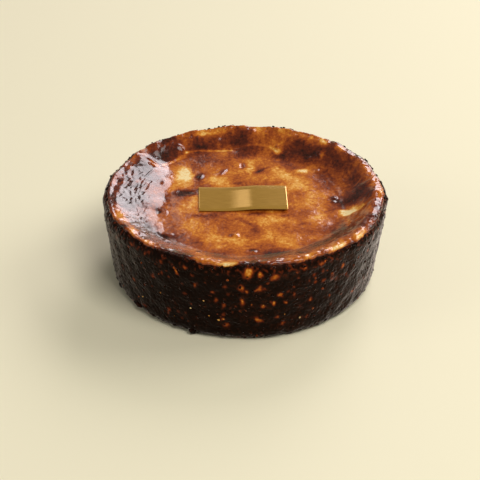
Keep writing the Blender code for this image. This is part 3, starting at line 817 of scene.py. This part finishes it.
rng = np.random.default_rng(61)
WALL_CRUMBS, LIP_CRUMBS, FOOT_CRUMBS = 900, 200, 260
crumb_turns = rng.uniform(-math.pi, math.pi, WALL_CRUMBS + LIP_CRUMBS + FOOT_CRUMBS)
at_crest = np.full(LIP_CRUMBS, LENGTH_TO_CREST)
lip_turns = crumb_turns[WALL_CRUMBS : WALL_CRUMBS + LIP_CRUMBS]
crumb_lengths = np.concatenate((
    rng.uniform(LENGTH_TO_CREST + 8, LENGTH_TO_FOOT - 8, WALL_CRUMBS),
    at_crest + (rng.uniform(0.2, 3, LIP_CRUMBS) - past_lip(at_crest, lip_turns)),
    LENGTH_TO_FOOT - rng.uniform(4, 9, FOOT_CRUMBS),
))
crumb_sizes = np.concatenate((
    rng.uniform(0.5, 1.4, WALL_CRUMBS + LIP_CRUMBS),
    rng.uniform(0.6, 1.8, FOOT_CRUMBS),
))
crumb_bakes = rng.uniform(0.86, 1.05, len(crumb_turns))
crumb_bakes -= 0.40 * (rng.random(len(crumb_turns)) < 0.05)  # one in twenty is amber

seen_turns, seen_heights, seen_sizes, seen_bakes = np.array(GLINT_CRUMBS_AND_FOOT_LUMPS).T
down, length_down = -outline_height[TOP_POINTS:], outline_length[TOP_POINTS:]
crumb_turns = np.concatenate((crumb_turns, np.radians(seen_turns)))
crumb_lengths = np.concatenate((crumb_lengths, np.interp(-seen_heights, down, length_down)))
crumb_sizes = np.concatenate((crumb_sizes, seen_sizes))
crumb_bakes = np.concatenate((crumb_bakes, seen_bakes))
loose_crumbs = crumbs("loose_crumbs", crumb_turns, crumb_lengths, crumb_sizes, crumb_bakes, rng)
print(f"{loose_crumbs.name}: {len(crumb_turns)} crumbs, {triangles(loose_crumbs)} triangles")

# %% [markdown]
# ## The gold label
#
# A bare strip of stiff gold card lies across the dish. It isn't flat: its left part lies low, it
# bends up near its middle, and its right part stays up. A thin box could be bent, but a grid is
# easier to lift along those bends. Solidify then gives it an even thickness, and a fine Bevel
# makes its edge catch the light.

# %% Model the card
CARD_BENDS = [  # (distance along the card from its middle, how high it stands there), in mm
    (-31.5, 0.4), (-20, 0.1), (-12, 0.05), (-6, 0.25), (0, 0.75), (7, 1.5), (16, 1.45), (31.5, 1.2),
]
BEND_BLEND = 4  # the bends are rounded over this much each way
CARD_THICKNESS, CARD_EDGE, CARD_GAP = 0.22, 0.03, 0.35

deselect_all()
bpy.ops.mesh.primitive_grid_add(x_subdivisions=90, y_subdivisions=6, size=1)
label = take("foil_label")
card = read_points(label)
length_at = card[:, 0] * LABEL_LENGTH
bend_at, bend_lift = np.array(CARD_BENDS).T
near_bends = length_at[:, None] + np.linspace(-1, 1, 9) * BEND_BLEND
lift = np.interp(near_bends, bend_at, bend_lift).mean(axis=1)
write_points(label, np.column_stack((length_at, card[:, 1] * LABEL_WIDTH, lift - lift.min())))
label.location = Vector((*LABEL_CENTRE, CAKE_HEIGHT - DISH_SINK + CARD_GAP)) * MM
label.rotation_euler = (0, 0, LABEL_TURN)
bpy.ops.object.transform_apply(location=True, rotation=True, scale=True)
thicken = label.modifiers.new("card_thickness", "SOLIDIFY")
thicken.thickness, thicken.offset = CARD_THICKNESS * MM, 1.0
bevel = label.modifiers.new("pressed_edge", "BEVEL")
bevel.width, bevel.segments, bevel.limit_method = CARD_EDGE * MM, 2, "ANGLE"
for modifier in ("card_thickness", "pressed_edge"):
    bpy.ops.object.modifier_apply(modifier=modifier)
bpy.ops.object.shade_smooth_by_angle(angle=math.radians(30))
print(f"{label.name}: {triangles(label)} triangles")


# %% [markdown]
# ## Materials
#
# All baked pieces share their colours, from cream through gold, orange and red-brown to black.
# Each material could hold its own ramp, but then a change would have to be made twice. One node
# group turns bake into colour for both. It adds mottling at two sizes, and gives a grain height
# for the bump. The shader itself stays in each material, with its own gloss.


# %% A node group for baked colour
def set_inputs(node, inputs):
    """Gives each named or numbered input its value, or links it to a socket."""
    for key, value in inputs.items():
        if isinstance(value, bpy.types.NodeSocket):
            node.id_data.links.new(value, node.inputs[key])
        else:
            node.inputs[key].default_value = value


def add_node(tree, kind, inputs, **settings):
    """Adds a node with its properties and inputs, to the right of the last one."""
    node = tree.nodes.new(kind)
    node.location = (200 * len(tree.nodes), 0)
    for key, value in settings.items():
        setattr(node, key, value)
    set_inputs(node, inputs)
    return node


def set_ramp(node, stops):
    """Fills a colour ramp with (position, colour) stops."""
    ramp = node.color_ramp
    while len(ramp.elements) > 1:
        ramp.elements.remove(ramp.elements[-1])
    ramp.elements[0].position, ramp.elements[0].color = stops[0][0], (*stops[0][1], 1)
    for position, colour in stops[1:]:
        ramp.elements.new(position).color = (*colour, 1)


BAKE_COLOURS = [
    (0.00, (0.97, 0.76, 0.38)),
    (0.12, (0.86, 0.45, 0.095)),
    (0.25, (0.66, 0.225, 0.022)),
    (0.37, (0.48, 0.12, 0.012)),
    (0.50, (0.31, 0.062, 0.008)),
    (0.62, (0.17, 0.028, 0.006)),
    (0.74, (0.088, 0.015, 0.005)),
    (0.87, (0.032, 0.008, 0.003)),
    (1.00, (0.008, 0.0028, 0.0013)),
]


def baked_group():
    """The node group: Bake, Mottle and Grain Scale in, Color, Height and Bake out."""
    group = bpy.data.node_groups.new("baked_colour", "ShaderNodeTree")
    for name in ("Bake", "Mottle", "Grain Scale"):
        group.interface.new_socket(name, in_out="INPUT", socket_type="NodeSocketFloat")
    group.interface.new_socket("Color", in_out="OUTPUT", socket_type="NodeSocketColor")
    for name in ("Height", "Bake"):
        group.interface.new_socket(name, in_out="OUTPUT", socket_type="NodeSocketFloat")
    start = add_node(group, "NodeGroupInput", {}).outputs
    place = add_node(group, "ShaderNodeTexCoord", {}).outputs["Object"]
    inputs = {"Vector": place, "Scale": 360, "Detail": 5, "Roughness": 0.6}
    coarse = add_node(group, "ShaderNodeTexNoise", inputs).outputs["Fac"]
    inputs = {"Vector": place, "Scale": start["Grain Scale"], "Detail": 3, "Roughness": 0.6}
    fine = add_node(group, "ShaderNodeTexNoise", inputs).outputs["Fac"]

    def maths(operation, *values):
        """The result of a Math node with these values."""
        inputs = dict(enumerate(values))
        node = add_node(group, "ShaderNodeMath", inputs, operation=operation)
        return node.outputs[0]

    both = maths("ADD", coarse, fine)
    middle = maths("SUBTRACT", both, 1.0)
    mottled = maths("MULTIPLY_ADD", middle, start["Mottle"], start["Bake"])
    ramp = add_node(group, "ShaderNodeValToRGB", {"Fac": mottled})
    set_ramp(ramp, BAKE_COLOURS)
    outputs = {"Color": ramp.outputs["Color"], "Height": both, "Bake": mottled}
    add_node(group, "NodeGroupOutput", outputs)
    return group


baked_colour = baked_group()
print("node group:", baked_colour.name)


# %% [markdown]
# The top's skin shines like caramel, except where the number called dull makes it rougher. A
# second, clear coat could give that shine, but one low roughness is enough. The crumb is rough
# and hardly glossy, and a soft sheen stands for the light that its edges catch.


# %% Materials of the baked pieces
GRAIN_SCALE = 700
DULLER = 0.26  # how much rougher the skin is where it is dull


def new_material(name):
    """A material, its node tree and its Principled shader."""
    material = bpy.data.materials.new(name)
    material.use_nodes = True
    return material, material.node_tree, material.node_tree.nodes["Principled BSDF"]


def baked_material(name, mottle, bump, roughness, sheen, gloss):
    """A material that reads bake and dull from the mesh. A piece without dull isn't dull."""
    material, tree, shader = new_material(name)
    bake_at = add_node(tree, "ShaderNodeAttribute", {}, attribute_name="bake")
    dull_at = add_node(tree, "ShaderNodeAttribute", {}, attribute_name="dull")
    inputs = {"Bake": bake_at.outputs["Fac"], "Mottle": mottle, "Grain Scale": GRAIN_SCALE}
    baked = add_node(tree, "ShaderNodeGroup", inputs, node_tree=baked_colour).outputs
    low, high = roughness
    inputs = {"Value": baked["Bake"], "From Min": 0.2, "To Min": low, "To Max": high}
    rough = add_node(tree, "ShaderNodeMapRange", inputs)
    inputs = {0: dull_at.outputs["Fac"], 1: DULLER, 2: rough.outputs["Result"]}
    duller = add_node(tree, "ShaderNodeMath", inputs, operation="MULTIPLY_ADD")
    strength, distance = bump
    inputs = {"Strength": strength, "Distance": distance, "Height": baked["Height"]}
    bumps = add_node(tree, "ShaderNodeBump", inputs)
    inputs = {
        "Base Color": baked["Color"],
        "Roughness": duller.outputs[0],
        "Normal": bumps.outputs["Normal"],
        "Specular IOR Level": gloss,
        "Sheen Weight": sheen,
        "Sheen Roughness": 0.26,
        "Sheen Tint": (1.0, 0.9, 0.86, 1),
    }
    set_inputs(shader, inputs)
    return material


def dress(piece, material):
    """Gives a piece one material."""
    piece.data.materials.clear()
    piece.data.materials.append(material)


caramel_skin = baked_material("caramel_skin", 0.36, (0.22, 0.2 * MM), (0.115, 0.135), 0.0, 0.45)
charred_crumb = baked_material("charred_crumb", 0.30, (0.4, 0.8 * MM), (0.34, 0.40), 1.0, 0.03)
dress(baked_top, caramel_skin)
dress(coat, charred_crumb)
dress(loose_crumbs, charred_crumb)
print("baked materials:", caramel_skin.name, charred_crumb.name)

# %% [markdown]
# The label is satin gold foil, with a fine grain brushed along its length, which makes its
# shine soft and a little uneven. It could be all metal, but metal goes dark where it mirrors
# the dim room, so it is half metal and stays gold from every side.

# %% Material of the label
gold_foil, tree, shader = new_material("gold_foil")
place = add_node(tree, "ShaderNodeTexCoord", {}).outputs["Object"]
inputs = {"Vector": place, "Scale": (120, 1500, 1500)}
stretch = add_node(tree, "ShaderNodeMapping", inputs)
inputs = {"Vector": stretch.outputs["Vector"], "Scale": 1.0, "Detail": 3}
brushed = add_node(tree, "ShaderNodeTexNoise", inputs).outputs["Fac"]
tint = add_node(tree, "ShaderNodeValToRGB", {"Fac": brushed})
set_ramp(tint, [(0.3, (0.50, 0.27, 0.042)), (0.7, (0.62, 0.345, 0.06))])
inputs = {"Value": brushed, "To Min": 0.11, "To Max": 0.18}
rough = add_node(tree, "ShaderNodeMapRange", inputs).outputs["Result"]
set_inputs(shader, {"Base Color": tint.outputs["Color"], "Roughness": rough, "Metallic": 0.5})
dress(label, gold_foil)
print("material:", gold_foil.name)

# %% [markdown]
# ## Table, lights and view
#
# The table is a wide pale cream sheet. The main light is a large soft box behind the cake and a
# little to the right. The wet-looking top mirrors it on the left slope and along the rim, and
# the wall in front stays dark. A small card beside it gives the label its bright band, and a
# low, wide, warm one shines in the front of the dish. Three weaker boxes light the right side,
# the left side and the front from above. A weak warm white world keeps the shadows soft. A
# picture of a room could light it all at once, but boxes can be moved one by one.


# %% Table
deselect_all()
bpy.ops.mesh.primitive_plane_add(size=6, location=(0, 0.5, 0))
table = take("table")
bpy.ops.object.transform_apply(location=True)
cream_paper, tree, shader = new_material("cream_paper")
cream = (0.92, 0.86, 0.63, 1)
set_inputs(shader, {"Base Color": cream, "Roughness": 0.8, "Specular IOR Level": 0.2})
dress(table, cream_paper)
print("table:", table.name)


# %% Lights
LIGHTS_AIM = Vector((0, 0, 50 * MM))


def soft_box(name, azimuth, elevation, distance, size, power, colour=(1.0, 0.98, 0.95), lean=0):
    """A flat light aimed at the cake. Azimuth 0 is straight behind it, and positive is right."""
    data = bpy.data.lights.new(name, "AREA")
    data.shape, data.size, data.size_y = "RECTANGLE", size[0], size[1]
    data.energy, data.color = power, colour
    light = bpy.data.objects.new(name, data)
    bpy.context.scene.collection.objects.link(light)
    a, e = math.radians(azimuth), math.radians(elevation)
    towards = Vector((math.sin(a) * math.cos(e), math.cos(a) * math.cos(e), math.sin(e)))
    light.location = towards * distance
    aim = (LIGHTS_AIM - light.location).to_track_quat("-Z", "Y").to_matrix()
    light.rotation_euler = (aim @ Matrix.Rotation(math.radians(lean), 3, "Z")).to_euler()


soft_box("back_light", 20.2, 28.5, 3.0, (1.2, 1.8), 42, (1.0, 0.94, 0.975), lean=22)
soft_box("label_card", -8.5, 33.5, 1.6, (0.18, 0.26), 0.19, (1.0, 0.97, 0.92))
soft_box("side_light", 70, 36, 2.2, (1.3, 1.1), 18)
soft_box("left_light", -108, 26, 2.2, (1.0, 1.0), 5)
soft_box("top_light", 145, 58, 2.0, (1.0, 1.0), 17.5)
soft_box("low_card", 0, 8, 3.0, (2.4, 0.6), 2.3, (1.0, 0.82, 0.42))
world = bpy.data.worlds.new("soft_room")
bpy.context.scene.world = world
world.use_nodes = True
background = world.node_tree.nodes["Background"]
set_inputs(background, {"Color": (1.0, 0.97, 0.92, 1), "Strength": 0.17})
bpy.context.scene.view_settings.view_transform = "Standard"

# %% [markdown]
# ## Hand the pieces over
#
# The baked top, the coat and its crumbs stand for the CAD cake, and the foil for the CAD label.
# Each rides on the one body, and the CAD parts they stand for are hidden.

# %% Ride and replace
for piece in (baked_top, coat, loose_crumbs):
    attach(piece, "root")
    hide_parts("cheesecake")
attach(label, "root")
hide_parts("gold_label")
